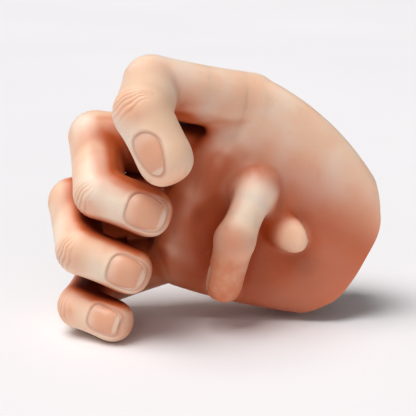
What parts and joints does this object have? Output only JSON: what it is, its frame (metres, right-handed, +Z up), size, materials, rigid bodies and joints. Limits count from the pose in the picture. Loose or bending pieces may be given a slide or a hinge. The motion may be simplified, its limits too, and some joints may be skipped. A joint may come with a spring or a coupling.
{
  "type": "prosthetic hand",
  "caption": "Silicone-covered partial prosthetic hand with poseable fingers, a short thumb and a hollow open wrist for the wearer's palm.",
  "frame": {"origin": "middle of the base of the hand's box, on the plane it rests on", "axes": "+X from the fingers to the open wrist, +Y away from the palm towards the back of the hand, +Z up, from the little finger to the index finger"},
  "size_m": [0.1146, 0.0744, 0.0897],
  "materials": {
    "finger_silicone": "satin skin silicone",
    "palm_silicone": "satin skin silicone",
    "liner": "matt",
    "nail": "satin",
    "link_alloy": "bead blasted",
    "frame_alloy": "bead blasted",
    "plate_alloy": "milled",
    "pin_steel": "ground",
    "screw_steel": "turned"
  },
  "bodies": {
    "palm": {"palm_glove": "palm_silicone", "palm_liner": "liner", "knuckle_frame": "frame_alloy", "socket_plate": "plate_alloy", "plate_screw_1": "screw_steel", "plate_screw_2": "screw_steel", "plate_screw_3": "screw_steel"},
    "index_proximal": {"index_proximal_link": "link_alloy", "index_proximal_pin": "pin_steel", "index_proximal_sleeve": "finger_silicone"},
    "index_middle": {"index_middle_link": "link_alloy", "index_middle_pin": "pin_steel", "index_middle_sleeve": "finger_silicone"},
    "index_tip": {"index_tip_link": "link_alloy", "index_tip_pin": "pin_steel", "index_tip_sleeve": "finger_silicone", "index_nail": "nail"},
    "middle_proximal": {"middle_proximal_link": "link_alloy", "middle_proximal_pin": "pin_steel", "middle_proximal_sleeve": "finger_silicone"},
    "middle_middle": {"middle_middle_link": "link_alloy", "middle_middle_pin": "pin_steel", "middle_middle_sleeve": "finger_silicone"},
    "middle_tip": {"middle_tip_link": "link_alloy", "middle_tip_pin": "pin_steel", "middle_tip_sleeve": "finger_silicone", "middle_nail": "nail"},
    "ring_proximal": {"ring_proximal_link": "link_alloy", "ring_proximal_pin": "pin_steel", "ring_proximal_sleeve": "finger_silicone"},
    "ring_middle": {"ring_middle_link": "link_alloy", "ring_middle_pin": "pin_steel", "ring_middle_sleeve": "finger_silicone"},
    "ring_tip": {"ring_tip_link": "link_alloy", "ring_tip_pin": "pin_steel", "ring_tip_sleeve": "finger_silicone", "ring_nail": "nail"},
    "little_proximal": {"little_proximal_link": "link_alloy", "little_proximal_pin": "pin_steel", "little_proximal_sleeve": "finger_silicone"},
    "little_middle": {"little_middle_link": "link_alloy", "little_middle_pin": "pin_steel", "little_middle_sleeve": "finger_silicone"},
    "little_tip": {"little_tip_link": "link_alloy", "little_tip_pin": "pin_steel", "little_tip_sleeve": "finger_silicone", "little_nail": "nail"},
    "thumb_base": {"thumb_base_link": "link_alloy", "thumb_base_pin": "pin_steel", "thumb_base_sleeve": "finger_silicone"},
    "thumb_tip": {"thumb_tip_link": "link_alloy", "thumb_tip_pin": "pin_steel", "thumb_tip_sleeve": "finger_silicone", "thumb_nail": "nail"}
  },
  "joints": [
    {"name": "index_knuckle", "type": "hinge", "parent": "palm", "child": "index_proximal", "pos_m": [0.01174, 0.01284, 0.07319], "axis": [0.2863, -0.2515, 0.9246], "range_deg": [-25, 10]},
    {"name": "index_middle_joint", "type": "hinge", "parent": "index_proximal", "child": "index_middle", "pos_m": [-0.02126, 0.00284, 0.08069], "axis": [0.2863, -0.2515, 0.9246], "range_deg": [-58, 10]},
    {"name": "index_end_joint", "type": "hinge", "parent": "index_middle", "child": "index_tip", "pos_m": [-0.02326, -0.01966, 0.07519], "axis": [0.8975, -0.1784, 0.4034], "range_deg": [-50, 10]},
    {"name": "middle_knuckle", "type": "hinge", "parent": "palm", "child": "middle_proximal", "pos_m": [-0.00126, 0.01684, 0.05469], "axis": [0.1647, -0.5189, 0.8388], "range_deg": [-25, 3]},
    {"name": "middle_middle_joint", "type": "hinge", "parent": "middle_proximal", "child": "middle_middle", "pos_m": [-0.04126, 0.01384, 0.06069], "axis": [0.1647, -0.5189, 0.8388], "range_deg": [-85, 5]},
    {"name": "middle_end_joint", "type": "hinge", "parent": "middle_middle", "child": "middle_tip", "pos_m": [-0.03826, -0.00816, 0.04649], "axis": [0.1818, -0.5156, 0.8373], "range_deg": [-52, 8]},
    {"name": "ring_knuckle", "type": "hinge", "parent": "palm", "child": "ring_proximal", "pos_m": [-0.01026, 0.01684, 0.03569], "axis": [0.0905, -0.3752, 0.9225], "range_deg": [-25, 3]},
    {"name": "ring_middle_joint", "type": "hinge", "parent": "ring_proximal", "child": "ring_middle", "pos_m": [-0.04926, 0.01284, 0.03789], "axis": [0.0905, -0.3752, 0.9225], "range_deg": [-85, 3]},
    {"name": "ring_end_joint", "type": "hinge", "parent": "ring_middle", "child": "ring_tip", "pos_m": [-0.04476, -0.01066, 0.02789], "axis": [0.2566, -0.3364, 0.9061], "range_deg": [-32, 8]},
    {"name": "little_knuckle", "type": "hinge", "parent": "palm", "child": "little_proximal", "pos_m": [-0.01426, 0.01484, 0.01769], "axis": [-0.3339, 0.0397, 0.9418], "range_deg": [-25, 3]},
    {"name": "little_middle_joint", "type": "hinge", "parent": "little_proximal", "child": "little_middle", "pos_m": [-0.04276, 0.01234, 0.00769], "axis": [-0.3339, 0.0397, 0.9418], "range_deg": [-60, 6]},
    {"name": "little_end_joint", "type": "hinge", "parent": "little_middle", "child": "little_tip", "pos_m": [-0.04576, -0.00816, 0.00749], "axis": [0.0404, -0.0157, 0.9991], "range_deg": [-62, 8]},
    {"name": "thumb_base_joint", "type": "hinge", "parent": "palm", "child": "thumb_base", "pos_m": [0.01424, 0.00584, 0.04569], "axis": [0.9228, -0.164, -0.3486], "range_deg": [-25, 1]},
    {"name": "thumb_end_joint", "type": "hinge", "parent": "thumb_base", "child": "thumb_tip", "pos_m": [0.00624, -0.00516, 0.02969], "axis": [0.9228, -0.164, -0.3486], "range_deg": [-22, 1]}
  ]
}
